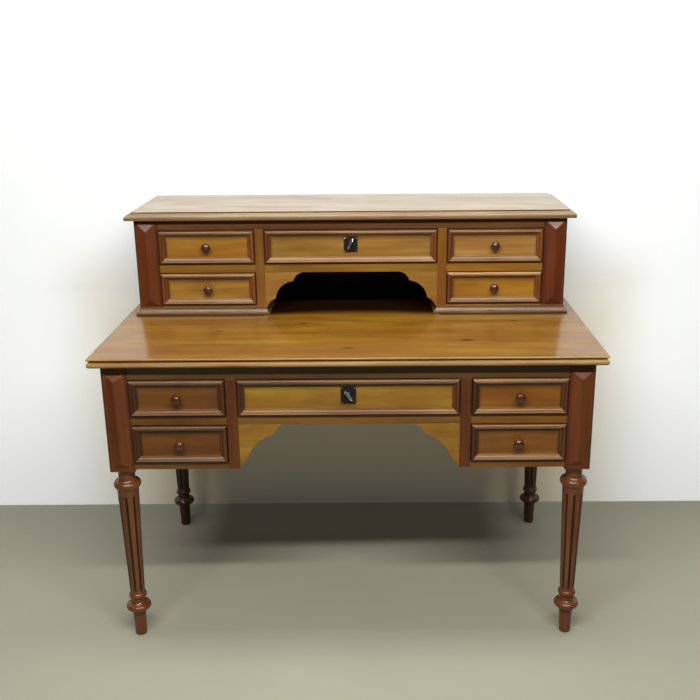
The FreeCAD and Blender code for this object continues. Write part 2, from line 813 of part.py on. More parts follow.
def keyhole(body, name, level, depth, face="0"):
    """Round hole and the slot below it, cut in from the face."""
    eye = disc(body, "XZ_Plane", name + "_eye_outline", "0", level, "keyhole_radius", face)
    feature(body, "Pocket", name + "_eye", eye, depth)
    slot = rectangle(body, "XZ_Plane", name + "_slot_outline",
                     ("-keyhole_slot / 2", "keyhole_slot / 2"),
                     (level + " - keyhole_drop", level), face)
    feature(body, "Pocket", name + "_slot", slot, depth)


def drawer_box(name, x, s, z):
    """Two sides, a back and a bottom, open at the top."""
    left = "(%s + front_gap)" % x[0]
    right = "(%s - front_gap)" % x[1]
    foot = "(%s + running_gap)" % z[0]
    rim = "(%s - front_gap - rim_drop)" % z[1]
    start = "(%s + front_thickness)" % s["front"]
    end = "(%s - box_rear_gap)" % s["back"]
    rear = (end + " - drawer_back", end)
    inside = (left + " + drawer_side", right + " - drawer_side")
    floor = "(%s + bottom_lift)" % foot
    return group(name, [
        board(name + "_left", (left, inside[0]), (start, end), (foot, rim)),
        board(name + "_right", (inside[1], right), (start, end), (foot, rim)),
        board(name + "_back", inside, rear, (foot, rim + " - back_drop")),
        board(name + "_bottom", inside, (start, rear[0]), (floor, floor + " + drawer_bottom")),
    ])


def knob(name, x, front, z):
    """Turned knob: tenon, seat, neck and a ball head cut in narrow flats."""
    body = new_body(name, "((%s) + (%s)) / 2" % x, front, "((%s) + (%s)) / 2" % z)
    corners = [("0", "knob_tenon_length"), ("0", "-knob_reach")]
    for degrees in range(25, 155, 25):
        out = math.sin(math.radians(degrees))
        along = math.cos(math.radians(degrees))
        corners.append(("knob_radius * %.4f" % out,
                        "-knob_belly - (knob_reach - knob_belly) * %.4f" % along))
    corners += [
        ("knob_neck", "-knob_neck_reach"),
        ("knob_seat", "-knob_seat_thickness"),
        ("knob_seat", "0"),
        ("knob_tenon", "0"),
        ("knob_tenon", "knob_tenon_length"),
    ]
    profile = outline(body, "XY_Plane", name + "_profile", corners)
    turned = feature(body, "Revolution", name + "_turned", profile)
    turned.ReferenceAxis = (profile, ["V_Axis"])
    return piece(name, body)


def front_height(z):
    return "(%s - (%s) - 2 * front_gap)" % (z[1], z[0])


def lock(name, s, z, hand):
    """Pierced plate on the face and the lock let in behind it."""
    height = front_height(z)
    foot = z[0] + " + front_gap"
    middle = plate_middle(height)
    level = key_level(height)
    plate = new_body(name + "_plate", "0", s["front"], foot)
    half = "(plate_width / 2)"
    face = rectangle(plate, "XZ_Plane", name + "_plate_outline", ("-" + half, half),
                     (middle + " - plate_height / 2", middle + " + plate_height / 2"))
    feature(plate, "Pad", name + "_plate_sheet", face, "plate_thickness")
    keyhole(plate, name + "_plate", level, "plate_thickness", "plate_thickness")

    case = new_body(name + "_case", "0", s["front"] + " + front_thickness", foot)
    wide = "(lock_width / 2)"
    back = rectangle(case, "XZ_Plane", name + "_case_outline", ("-" + wide, wide),
                     (height + " - lock_height", height))
    feature(case, "Pad", name + "_case_block", back, "lock_depth")
    across = "(bolt_width / 2 + bolt_gap)"
    thick = "(bolt_thickness / 2 + bolt_gap)"
    deep = ("-lock_depth / 2 - " + thick, "-lock_depth / 2 + " + thick)
    throat = rectangle(case, "XY_Plane", name + "_throat_outline", ("-" + across, across),
                       deep, height)
    feature(case, "Pocket", name + "_throat", throat, "bolt_height + bolt_gap")
    lug = span(hand, "lug_inner - bolt_gap", across)
    way = rectangle(case, "XY_Plane", name + "_lug_outline", lug, deep, height)
    feature(case, "Pocket", name + "_lug_way", way,
            "%s - %s + %s_lug_drop + bolt_gap" % (height, level, s["prefix"]))
    chamber = disc(case, "XZ_Plane", name + "_chamber_outline", "0", level,
                   "bit_reach + chamber_gap", "lock_depth - lock_wall")
    feature(case, "Pocket", name + "_chamber", chamber, "lock_depth - 2 * lock_wall")
    keyhole(case, name + "_case", level, "lock_wall", "lock_depth")
    return group(name, [plate, case])


def bolt(name, s, z, hand):
    """Bolt of the lock, drawn down flush with the edge of the front."""
    height = front_height(z)
    body = new_body(name, "0", s["front"] + " + front_thickness - lock_depth / 2",
                    z[0] + " + front_gap")
    sign = "-" if hand == "left" else ""
    half = "bolt_width / 2"
    foot = height + " - bolt_height"
    lug_foot = "%s - %s_lug_drop" % (key_level(height), s["prefix"])
    profile = outline(body, "XZ_Plane", name + "_outline", [
        (sign + half, height), (sign + half, lug_foot), (sign + "lug_inner", lug_foot),
        (sign + "lug_inner", foot), ("-1 * " + sign + half, foot), ("-1 * " + sign + half, height)])
    plate = feature(body, "Pad", name + "_plate", profile, "bolt_thickness")
    plate.Midplane = True
    return piece(name, body)


def key(name, s, z):
    """Key in the lock: shaft, bit, collar and an oval ring as its bow."""
    body = new_body(name, "0", s["front"],
                    "%s + front_gap + %s" % (z[0], key_level(front_height(z))))
    body.Placement.Rotation = FreeCAD.Rotation(FreeCAD.Vector(0, 1, 0), 1)
    bind(body, "Placement.Rotation.Angle", "%s_key_turn * 1 deg" % s["prefix"])
    end = "(front_thickness - lock_wall - bit_gap)"
    rod = outline(body, "XY_Plane", name + "_profile", [
        ("0", end), ("0", "-bow_start - 1"),
        ("key_shaft", "-bow_start - 1"), ("key_shaft", "-key_collar_end"),
        ("key_collar", "-key_collar_end"), ("key_collar", "-key_collar_start"),
        ("key_shaft", "-key_collar_start"), ("key_shaft", end)])
    shaft = feature(body, "Revolution", name + "_shaft", rod)
    shaft.ReferenceAxis = (rod, ["V_Axis"])
    bit = rectangle(body, "XY_Plane", name + "_bit_outline", ("0", "bit_reach"),
                    ("front_thickness - lock_depth + lock_wall + bit_gap", end))
    flag = feature(body, "Pad", name + "_bit", bit, "bit_thickness")
    flag.Midplane = True
    for part_of_bow, inset, kind in (("ring", "0", "Pad"), ("hole", "bow_rim", "Pocket")):
        radius = "(bow_width / 2 - %s)" % inset
        run = "(bow_length / 2 - bow_width / 2)"
        near = "(-bow_start - %s)" % inset
        far = "(-bow_start - bow_width + %s)" % inset
        oval = outline(body, "XY_Plane", "%s_%s_outline" % (name, part_of_bow), [
            ("-" + run, near, radius + " * 1.001", "left"), ("-" + run, far),
            (run, far, radius + " * 1.001", "left"), (run, near)])
        item = feature(body, kind, "%s_%s" % (name, part_of_bow), oval, "bow_thickness")
        item.Midplane = True
    return piece(name, body)


for s in (base, hutch):
    prefix = s["prefix"]
    z = s["z"]
    hand = s["hand"]
    for side in ("left", "right"):
        x = span(side, s["divider_out"], s["bay_out"])
        for level, limits in (("upper", (z[2], z[1])), ("lower", (z[4], z[3]))):
            name = "%s_%s_%s" % (prefix, side, level)
            drawer_front(name + "_front", x, s["front"], limits, True)
            drawer_box(name + "_box", x, s, limits)
            knob(name + "_knob", x, s["front"], limits)
    x = ("(-%s)" % s["divider_in"], s["divider_in"])
    limits = (z[2], z[1])
    drawer_front(prefix + "_centre_front", x, s["front"], limits, False)
    drawer_box(prefix + "_centre_box", x, s, limits)
    lock(prefix + "_centre_lock", s, limits, hand)
    bolt(prefix + "_centre_bolt", s, limits, hand)
    key(prefix + "_centre_key", s, limits)

# ------------------------------------------------------------------- export

doc.recompute()
for item in doc.Objects:
    state = " ".join(item.State)
    if "Invalid" in state or "Error" in state:
        raise RuntimeError("%s did not build: %s" % (item.Label, state))

os.makedirs("parts", exist_ok=True)
for name, item in pieces.items():
    shape = item.Shape
    if shape.isNull() or not shape.isValid() or not shape.Solids:
        raise RuntimeError("%s is not a valid solid" % name)
    shape.exportStep("parts/%s.step" % name)
    box = shape.BoundBox
    print("%-24s %d solid(s) x %.1f..%.1f y %.1f..%.1f z %.1f..%.1f" % (
        name, len(shape.Solids), box.XMin, box.XMax, box.YMin, box.YMax, box.ZMin, box.ZMax))
print(len(pieces), "pieces")
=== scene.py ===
# %% [markdown]
# # A writing desk in two stages
#
# The desk is a table on four turned and fluted legs, with a low cabinet of
# drawers at the back of its top. The frame that is loaded first holds every
# board, drawer, knob and lock in its true place and size, with the joints that
# slide the drawers. This lesson gives each of them the surface of an old,
# varnished piece of furniture, and models by hand what a plain solid can't show.

# %% Load the frame
import json
import math

import bpy
from mathutils import Matrix, Vector


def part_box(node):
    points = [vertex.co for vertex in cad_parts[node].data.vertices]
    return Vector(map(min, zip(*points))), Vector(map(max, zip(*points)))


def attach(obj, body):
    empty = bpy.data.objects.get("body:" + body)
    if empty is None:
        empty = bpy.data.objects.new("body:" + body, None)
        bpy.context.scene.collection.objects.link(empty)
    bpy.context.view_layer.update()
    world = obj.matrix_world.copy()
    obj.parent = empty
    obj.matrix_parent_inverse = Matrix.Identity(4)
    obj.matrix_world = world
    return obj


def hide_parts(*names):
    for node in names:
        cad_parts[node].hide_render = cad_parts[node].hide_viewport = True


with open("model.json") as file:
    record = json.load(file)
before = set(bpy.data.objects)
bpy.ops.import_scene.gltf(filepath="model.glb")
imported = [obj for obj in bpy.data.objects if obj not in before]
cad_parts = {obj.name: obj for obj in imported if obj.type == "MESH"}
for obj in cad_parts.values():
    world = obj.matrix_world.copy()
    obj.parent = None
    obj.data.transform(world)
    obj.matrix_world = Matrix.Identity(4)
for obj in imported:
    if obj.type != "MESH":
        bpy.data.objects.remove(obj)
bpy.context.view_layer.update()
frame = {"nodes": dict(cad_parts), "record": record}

record = frame["record"]
body_of = {node: body for body, nodes in record["behaviour"]["bodies"].items() for node in nodes}
bpy.ops.object.select_all(action="DESELECT")

# %% [markdown]
# ## Working by hand
#
# Every operator acts on what is selected, so each step begins by choosing one
# piece. A board from the frame comes as loose triangles. A copy of it is
# welded, and where two boards of one piece meet along an edge they are parted
# again, or light would run round the corner between them. Each triangle is
# given its own wood where a piece has several, and the flat faces are joined.
# Then its edges can be eased as a maker eases them with a plane and with years
# of hands. The easing catches the light and is what tells the eye that a board
# is wood and not a drawing.

# %% Choose, copy and ease a piece
WELD = 0.00001
FLAT_WITHIN = math.radians(0.4)


def choose(piece):
    bpy.ops.object.select_all(action="DESELECT")
    piece.select_set(True)
    bpy.context.view_layer.objects.active = piece


def new_piece(name, data):
    """A new object in the scene, made from a mesh, a lamp or a camera."""
    piece = bpy.data.objects.new(name, data)
    bpy.context.scene.collection.objects.link(piece)
    return piece


def copy_of(node, materials, sort=None):
    """A welded copy of one piece of the frame, with its flat faces joined.

    `sort` tells which of the materials a face has, from the place of its middle.
    """
    mesh = frame["nodes"][node].data.copy()
    mesh.materials.clear()
    for material in materials:
        mesh.materials.append(material)
    piece = new_piece(node + "_finished", mesh)
    choose(piece)
    bpy.ops.mesh.customdata_custom_splitnormals_clear()
    bpy.ops.object.mode_set(mode="EDIT")
    bpy.ops.mesh.select_all(action="SELECT")
    bpy.ops.mesh.remove_doubles(threshold=WELD)
    bpy.ops.mesh.select_mode(type="EDGE")
    bpy.ops.mesh.select_all(action="DESELECT")
    bpy.ops.mesh.select_non_manifold(use_wire=False, use_boundary=False, use_non_contiguous=False,
                                     use_verts=False)
    bpy.ops.mesh.edge_split(type="EDGE")
    bpy.ops.mesh.select_mode(type="VERT")
    bpy.ops.object.mode_set(mode="OBJECT")
    if sort:
        for face in mesh.polygons:
            face.material_index = sort(face.center)
    bpy.ops.object.mode_set(mode="EDIT")
    bpy.ops.mesh.select_all(action="SELECT")
    bpy.ops.mesh.dissolve_limited(angle_limit=FLAT_WITHIN, delimit={"MATERIAL"})
    bpy.ops.object.mode_set(mode="OBJECT")
    return piece


def ease_edges(piece, width, segments=2, corner=19):
    """Round every edge that turns by more than `corner` degrees."""
    choose(piece)
    bpy.ops.object.shade_smooth()
    bpy.ops.object.modifier_add(type="BEVEL")
    bevel = piece.modifiers[-1]
    bevel.width = width
    bevel.segments = segments
    bevel.limit_method = "ANGLE"
    bevel.angle_limit = math.radians(corner)
    bevel.harden_normals = True
    bpy.ops.object.modifier_apply(modifier=bevel.name)


def place(piece, node):
    """The finished piece takes the frame piece's place and body, and the frame piece is hidden."""
    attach(piece, body_of[node])
    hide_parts(node)


# %% [markdown]
# ## A small kit for materials
#
# A colour is written as on a paint card and turned into the linear values that
# the renderer wants. `add` puts a node in a tree and fills its sockets, either
# with a value or with the socket of an earlier node. The Mix node has one set of
# sockets for numbers and one for colours, all with the same names, so `MIX`
# tells them by their number.

# %% Colours and nodes
MIX = {"amount": 0, "numbers": (2, 3), "colours": (6, 7), "colour_out": 2}


def paint(card):
    """A colour card such as #A0762F as linear red, green, blue and alpha."""
    channels = [int(card[i:i + 2], 16) / 255 for i in (1, 3, 5)]
    linear = [c / 12.92 if c <= 0.04045 else ((c + 0.055) / 1.055) ** 2.4 for c in channels]
    return (*linear, 1.0)


def new_material(name):
    """A material, with its tree of nodes and the shader in it."""
    material = bpy.data.materials.new(name)
    material.use_nodes = True
    return material, material.node_tree, material.node_tree.nodes["Principled BSDF"]


def add(tree, kind, sockets=(), **settings):
    node = tree.nodes.new("ShaderNode" + kind)
    for name, value in settings.items():
        setattr(node, name, value)
    pairs = sockets.items() if isinstance(sockets, dict) else enumerate(sockets)
    for key, value in pairs:
        if isinstance(value, bpy.types.NodeSocket):
            tree.links.new(value, node.inputs[key])
        elif value is not None:
            node.inputs[key].default_value = value
    return node


def maths(tree, operation, *values):
    return add(tree, "Math", values, operation=operation).outputs[0]


def stretch(tree, vector, scale):
    return add(tree, "VectorMath", (vector, scale), operation="MULTIPLY").outputs[0]


def noise(tree, vector, detail=2.0, roughness=0.5):
    return add(tree, "TexNoise", {"Vector": vector, "Scale": 1.0, "Detail": detail,
                                  "Roughness": roughness}).outputs["Fac"]


def spread(tree, value, low, high, to_low=0.0, to_high=1.0, smooth=False):
    kind = "SMOOTHSTEP" if smooth else "LINEAR"
    return add(tree, "MapRange", {"Value": value, "From Min": low, "From Max": high,
                                  "To Min": to_low, "To Max": to_high},
               interpolation_type=kind).outputs["Result"]


def blend_colours(tree, amount, first, second, mode="MIX"):
    one, other = MIX["colours"]
    return add(tree, "Mix", {MIX["amount"]: amount, one: first, other: second}, data_type="RGBA",
               blend_type=mode).outputs[MIX["colour_out"]]


def blend_numbers(tree, amount, first, second):
    one, other = MIX["numbers"]
    return add(tree, "Mix", {MIX["amount"]: amount, one: first, other: second}).outputs[0]


def object_axes(tree):
    """The place on the desk, as X, Y and Z in metres."""
    return add(tree, "SeparateXYZ", (add(tree, "TexCoord").outputs["Object"],)).outputs


def new_group(name, inputs, outputs):
    """An empty node group with its inputs and outputs made."""
    tree = bpy.data.node_groups.new(name, "ShaderNodeTree")
    for title, kind, value in inputs:
        socket = tree.interface.new_socket(title, in_out="INPUT", socket_type="NodeSocket" + kind)
        if value is not None:
            socket.default_value = value
    for title, kind in outputs:
        tree.interface.new_socket(title, in_out="OUTPUT", socket_type="NodeSocket" + kind)
    return tree, tree.nodes.new("NodeGroupInput").outputs, tree.nodes.new("NodeGroupOutput").inputs


def use_group(tree, group, sockets):
    node = tree.nodes.new("ShaderNodeGroup")
    node.node_tree = group
    for key, value in sockets.items():
        if isinstance(value, bpy.types.NodeSocket):
            tree.links.new(value, node.inputs[key])
        else:
            node.inputs[key].default_value = value
    return node.outputs


# %% [markdown]
# ## The figure of the wood
#
# A board shows the year rings of its tree as long lines that swing round a
# knot, finer streaks between them, and soft clouds where the wood takes the
# light more or less deeply. Its fibres are so thin that they only break up the
# shine. The figure is one node group, used by every board. Its coordinates run
# along the grain in X, across the face in Y and into the board in Z, in
# metres. A wide surface is glued up from several boards, so each board's width
# of the pattern is shifted by a number of its own. `FIGURE` says how often each
# pattern changes in a metre along, across and into the board, and `TONE` how
# much each of them darkens the wood.

# %% Node group: figure of a board
FIGURE = {"knots": (3.1, 8.5, 8.5), "warp": (1.6, 6.0, 6.0), "ring_patches": (1.4, 22.0, 22.0),
          "streaks": (2.2, 110.0, 110.0), "clouds": (3.4, 26.0, 26.0), "drifts": (3.0, 14.0, 14.0),
          "fibres": (30.0, 1500.0, 1500.0)}
TONE = {"rings": 0.16, "clouds": 0.52, "knots": 0.30}
BOARD_SHIFT = (9.0, 0.7, 0.5)
WARP_BEND, KNOT_BEND, RING_LEAN = 0.075, 0.035, 0.45

figure, given, made = new_group("board_figure", [
    ("Vector", "Vector", None), ("Board", "Float", 10.0), ("Rings", "Float", 34.0),
    ("Streaks", "Float", 0.36), ("Knots", "Float", 0.0)],
    [("Tone", "Float"), ("Drift", "Float"), ("Knot", "Float"), ("Fibre", "Float"),
     ("Height", "Float")])

parts = add(figure, "SeparateXYZ", (given["Vector"],)).outputs
board = maths(figure, "FLOOR", maths(figure, "DIVIDE", parts["Y"], given["Board"]))
own = add(figure, "TexWhiteNoise", {"W": board}, noise_dimensions="1D").outputs["Color"]
shift = stretch(figure, own, BOARD_SHIFT)
spot = add(figure, "VectorMath", (given["Vector"], shift), operation="ADD").outputs[0]

cells = add(figure, "TexVoronoi", {"Vector": stretch(figure, spot, FIGURE["knots"]), "Scale": 1.0})
lot = add(figure, "SeparateColor", (cells.outputs["Color"],)).outputs[0]
chosen = maths(figure, "LESS_THAN", lot, given["Knots"])
near = spread(figure, cells.outputs["Distance"], 0.0, 0.42, 1.0, 0.0, smooth=True)
swing = maths(figure, "MULTIPLY", near, chosen)
heart = maths(figure, "MULTIPLY", chosen,
              spread(figure, cells.outputs["Distance"], 0.03, 0.10, 1.0, 0.0, smooth=True))

warp = noise(figure, stretch(figure, spot, FIGURE["warp"]))
lie = add(figure, "SeparateXYZ", (spot,)).outputs
bend = maths(figure, "MULTIPLY_ADD", warp, WARP_BEND, maths(figure, "MULTIPLY", swing, KNOT_BEND))
swung = maths(figure, "ADD", lie["Y"], bend)
bent = add(figure, "CombineXYZ", (lie["X"], swung, lie["Z"])).outputs[0]
across = maths(figure, "MULTIPLY_ADD", lie["Z"], RING_LEAN, swung)
ring = maths(figure, "FRACT", maths(figure, "MULTIPLY", across, given["Rings"]))
ring = maths(figure, "POWER", ring, 2.0)
ring_power = noise(figure, stretch(figure, spot, FIGURE["ring_patches"]), detail=1.0)
ring = maths(figure, "MULTIPLY", ring, spread(figure, ring_power, 0.40, 0.70))

streak = noise(figure, stretch(figure, bent, FIGURE["streaks"]), detail=4.0, roughness=0.6)
cloud = noise(figure, stretch(figure, bent, FIGURE["clouds"]), detail=3.5, roughness=0.55)
drift = noise(figure, stretch(figure, bent, FIGURE["drifts"]), detail=3.0, roughness=0.55)
fibre = noise(figure, stretch(figure, spot, FIGURE["fibres"]))
streak = maths(figure, "MULTIPLY", spread(figure, streak, 0.30, 0.70), given["Streaks"])
tone = maths(figure, "MULTIPLY_ADD", ring, TONE["rings"], streak)
tone = maths(figure, "ADD", tone, spread(figure, cloud, 0.30, 0.70, 0.0, TONE["clouds"]))
tone = maths(figure, "MULTIPLY_ADD", swing, TONE["knots"], tone)
height = maths(figure, "MULTIPLY_ADD", ring, 0.6, maths(figure, "MULTIPLY", fibre, 0.8))

figure.links.new(maths(figure, "MINIMUM", maths(figure, "MAXIMUM", tone, 0.0), 1.0), made["Tone"])
figure.links.new(spread(figure, drift, 0.38, 0.62, smooth=True), made["Drift"])
figure.links.new(heart, made["Knot"])
figure.links.new(fibre, made["Fibre"])
figure.links.new(height, made["Height"])
print("board_figure:", len(figure.nodes), "nodes")

# %% [markdown]
# ## The skin of age
#
# Old varnish is never even. It darkens in drifts, it is rubbed thin where
# sleeves pass, and small dents gather dirt. This group gives three slow masks
# that any wood of the desk can mix into its colour and its gloss.

# %% Node group: patina
SKIN = {"stains": (5.0, 9.0, 9.0), "rubbing": (7.0, 14.0, 14.0), "dents": (34.0, 46.0, 46.0)}
DENT_SHARE = 0.12

patina, given, made = new_group("patina", [("Vector", "Vector", None)],
                                [("Stain", "Float"), ("Rub", "Float"), ("Dent", "Float")])
cloud = noise(patina, stretch(patina, given["Vector"], SKIN["stains"]), detail=4.0, roughness=0.6)
patina.links.new(spread(patina, cloud, 0.52, 0.78, smooth=True), made["Stain"])
rub = noise(patina, stretch(patina, given["Vector"], SKIN["rubbing"]), detail=3.0)
patina.links.new(spread(patina, rub, 0.35, 0.7), made["Rub"])
dents = add(patina, "TexVoronoi", {"Vector": stretch(patina, given["Vector"], SKIN["dents"]),
                                   "Scale": 1.0})
dent_lot = add(patina, "SeparateColor", (dents.outputs["Color"],)).outputs[1]
dent = maths(patina, "MULTIPLY", maths(patina, "LESS_THAN", dent_lot, DENT_SHARE),
             spread(patina, dents.outputs["Distance"], 0.03, 0.13, 1.0, 0.0, smooth=True))
patina.links.new(dent, made["Dent"])
print("patina:", len(patina.nodes), "nodes")

# %% [markdown]
# ## Woods
#
# One function makes every wood of the desk from the two groups. It is told the
# colour card, which way the grain lies on the piece, and a seed that moves the
# pattern so that no two boards match. `LAYS` names the ways that a board can
# lie and gives the axes that run along the grain, across the face and into the
# board. `TINTS` holds the factors on red, green and blue that make its streaks,
# its stains and its darkest places out of the wood's own colour. The streaks
# drift between a yellow pair and a red pair.

# %% Function: wood
LAYS = {"top": "XYZ", "rail": "XZY", "post": "ZXY", "side": "ZYX", "depth": "YXZ"}
TINTS = {"light": (1.38, 1.46, 1.60), "dark": (0.58, 0.52, 0.42),
         "light_red": (1.20, 1.04, 1.00), "dark_red": (0.50, 0.38, 0.30),
         "stain": (0.26, 0.20, 0.18), "darkest": (0.30, 0.24, 0.24)}
SEED_STEP = (1.37, 0.213, 0.171)
DENT_STAIN = 0.75


def tinted(colour, factors):
    return tuple(min(1.0, channel * factor) for channel, factor in zip(colour, factors)) + (1.0,)


def wood(name, card, lay, seed, value=1.0, knots=0.0, board=10.0, rings=34.0, gloss=0.34,
         varnish=0.3, polish=0.20, stain=0.4, streaks=0.36, dark_where=None):
    """A wood of the given colour, which `value` makes lighter or darker.

    `board` is the width of the boards that it is glued up from, `rings` their number of year
    rings in a metre, and `dark_where` gives a mask of places that stay dark.
    """
    material, tree, shader = new_material(name)
    axes = object_axes(tree)
    laid = add(tree, "CombineXYZ", [axes[axis] for axis in LAYS[lay]]).outputs[0]
    along, over, deep_in = (step * seed for step in SEED_STEP)
    offset = (along, 0.0 if board < 1 else over, deep_in)
    grain = add(tree, "Mapping", {"Vector": laid, "Location": offset}).outputs[0]
    marks = use_group(tree, figure, {"Vector": grain, "Board": board, "Rings": rings,
                                     "Streaks": streaks, "Knots": knots})
    age = use_group(tree, patina, {"Vector": grain})

    own = tinted(paint(card), (value,) * 3)
    deep = tinted(own, TINTS["stain"])
    yellow = blend_colours(tree, marks["Tone"], tinted(own, TINTS["light"]), tinted(own, TINTS["dark"]))
    red = blend_colours(tree, marks["Tone"], tinted(own, TINTS["light_red"]),
                        tinted(own, TINTS["dark_red"]))
    colour = blend_colours(tree, marks["Drift"], yellow, red)
    fine = spread(tree, marks["Fibre"], 0.3, 0.7, 0.92, 1.06)
    colour = blend_colours(tree, 1.0, colour, add(tree, "CombineColor", (fine, fine, fine)).outputs[0],
                           "MULTIPLY")
    colour = blend_colours(tree, maths(tree, "MULTIPLY", age["Stain"], stain), colour, deep)
    colour = blend_colours(tree, marks["Knot"], colour, deep)
    colour = blend_colours(tree, maths(tree, "MULTIPLY", age["Dent"], DENT_STAIN), colour, deep)
    if dark_where:
        colour = blend_colours(tree, dark_where(tree), colour, tinted(deep, TINTS["darkest"]))
    tree.links.new(colour, shader.inputs["Base Color"])

    rough = spread(tree, age["Rub"], 0.0, 1.0, gloss + 0.06, gloss + 0.20)
    rough = maths(tree, "MULTIPLY_ADD", marks["Fibre"], 0.10, maths(tree, "SUBTRACT", rough, 0.05))
    tree.links.new(rough, shader.inputs["Roughness"])
    relief = maths(tree, "MULTIPLY_ADD", age["Dent"], -1.6, marks["Height"])
    bump = add(tree, "Bump", {"Height": relief, "Strength": 0.25, "Distance": 0.0004})
    tree.links.new(bump.outputs[0], shader.inputs["Normal"])
    shader.inputs["Specular IOR Level"].default_value = 0.35
    shader.inputs["Coat Weight"].default_value = varnish
    shader.inputs["Coat Roughness"].default_value = polish
    return material


# %% [markdown]
# Some places of a board are painted darker, and a mask finds each of them by its place on the desk. The
# part of the writing top inside the niche is painted shadow of the cabinet, the line in front of the
# cabinet's plinth is painted contact shadow, the lower side of a moulding is painted shade, and the top
# of a panel's border is painted shadow under its frame. The knots are ones that a maker chose to keep.
# The upright edges of the posts and the sides of a panel's border are simply darker. A knot is given by
# its place on the writing top, in X and Y, and its size.

# %% Masks of dark places
WRITING_LEVEL = 0.757
NICHE_HALF = 0.228
NICHE_SHADE_START, NICHE_SHADE_FULL, NICHE_BOW = 0.020, 0.088, 0.55
PLINTH_HALF, PLINTH_RETURN = 0.576, 0.004
PLINTH_SHADOW_START, PLINTH_SHADOW_FULL = 0.0130, 0.0210
KNOTS = ((0.285, -0.213, 0.010), (-0.003, -0.272, 0.008), (-0.124, -0.052, 0.007),
         (-0.330, -0.120, 0.005), (0.420, -0.040, 0.005))
KNOT_NARROWING = 0.42
INNER_DARK_EDGE, OUTER_DARK_EDGE, DARK_EDGE_DEPTH = 0.011, 0.006, 0.006
LEFT_BORDER, RIGHT_BORDER, TOP_SHADOW = (0.002, 0.007), 0.005, 0.014


def painted_niche_shadow(tree):
    """The writing top behind the arch's curve, painted dark as the cabinet's shadow on it."""
    axes = object_axes(tree)
    bow = maths(tree, "MULTIPLY", maths(tree, "MULTIPLY", axes["X"], axes["X"]), NICHE_BOW)
    behind = spread(tree, maths(tree, "ADD", axes["Y"], bow), NICHE_SHADE_START, NICHE_SHADE_FULL,
                    smooth=True)
    inside = maths(tree, "LESS_THAN", maths(tree, "ABSOLUTE", axes["X"]), NICHE_HALF)
    return maths(tree, "MULTIPLY", behind, inside)


def knot_marks(tree):
    """Oval knots at their places on the writing top, with a ragged edge."""
    spot = add(tree, "TexCoord").outputs["Object"]
    ragged = maths(tree, "MULTIPLY", noise(tree, stretch(tree, spot, (60.0, 90.0, 90.0))), 0.9)
    marks = 0.0
    for x, y, size in KNOTS:
        away = add(tree, "VectorMath", (spot, (-x, -y, -WRITING_LEVEL)), operation="ADD").outputs[0]
        away = stretch(tree, away, (KNOT_NARROWING / size, 1.0 / size, 1.0 / size))
        length = add(tree, "VectorMath", (away,), operation="LENGTH").outputs["Value"]
        mark = spread(tree, maths(tree, "ADD", length, ragged), 0.65, 1.75, 0.9, 0.0, smooth=True)
        marks = maths(tree, "MAXIMUM", marks, mark)
    return marks


def plinth_contact_shadow(tree):
    """The painted contact shadow on the writing top in front of the plinth's foot."""
    axes = object_axes(tree)
    out = maths(tree, "ABSOLUTE", axes["X"])
    under_banks = maths(tree, "MULTIPLY", maths(tree, "GREATER_THAN", out, NICHE_HALF + PLINTH_RETURN),
                        maths(tree, "LESS_THAN", out, PLINTH_HALF))
    line = spread(tree, axes["Y"], PLINTH_SHADOW_START, PLINTH_SHADOW_FULL, 0.0, 0.90)
    return maths(tree, "MULTIPLY", line, under_banks)


def top_shadow_and_knots(tree):
    """All the dark places of the writing top: painted shadow and the knots."""
    shade = maths(tree, "MAXIMUM", painted_niche_shadow(tree), plinth_contact_shadow(tree))
    return maths(tree, "MAXIMUM", shade, knot_marks(tree))


def post_edges(inner, outer, front):
    """Mask of a front post's two upright edges, at its inner and its outer side."""
    def mask(tree):
        axes = object_axes(tree)
        out = maths(tree, "ABSOLUTE", axes["X"])
        # The post's upright edges are darker near its front.
        worn = maths(tree, "MAXIMUM", spread(tree, out, inner + INNER_DARK_EDGE, inner, 0.0, 0.55),
                     spread(tree, out, outer - OUTER_DARK_EDGE, outer - 0.001, 0.0, 0.65))
        near_front = spread(tree, axes["Y"], front, front + DARK_EDGE_DEPTH, 1.0, 0.0)
        return maths(tree, "MULTIPLY", worn, near_front)
    return mask


def shade_below(height, fade, strength):
    """Mask of what lies lower than the height, for painted shade where no light falls."""
    def mask(tree):
        return spread(tree, object_axes(tree)["Z"], height, height + fade, strength, 0.0, smooth=True)
    return mask


def frame_shadow_and_border(low, high, width, left):
    """Mask of a panel's border: painted shadow under the top of its frame, and darker strips by its left
    stand and its right.
    """
    inner_left, inner_right = low.x + width, high.x - width
    left_from, left_to = (inner_left + step for step in LEFT_BORDER)

    def mask(tree):
        axes = object_axes(tree)
        down = maths(tree, "SUBTRACT", high.z - width, axes["Z"])
        beside = maths(tree, "MAXIMUM", spread(tree, axes["X"], left_from, left_to, left, 0.0),
                       spread(tree, axes["X"], inner_right - RIGHT_BORDER, inner_right, 0.0, 0.35))
        under = spread(tree, down, 0.0, TOP_SHADOW, 0.50, 0.0, smooth=True)
        return maths(tree, "MAXIMUM", beside, under)
    return mask


# %% [markdown]
# ## The boards of the case
#
# Each board gets its own cut of wood. The rails and the tops run along the
# desk, posts and dividers stand upright. The posts and legs are a dark
# red-brown, the cabinet's rails and stiles are honey coloured, as when a
# maker joins two sorts of fruitwood and the sun has worked on them unevenly.
# A board's entry gives its colour card, how its grain lies and what else sets
# its wood apart. `edge_woods` holds the further woods of a moulded edge.

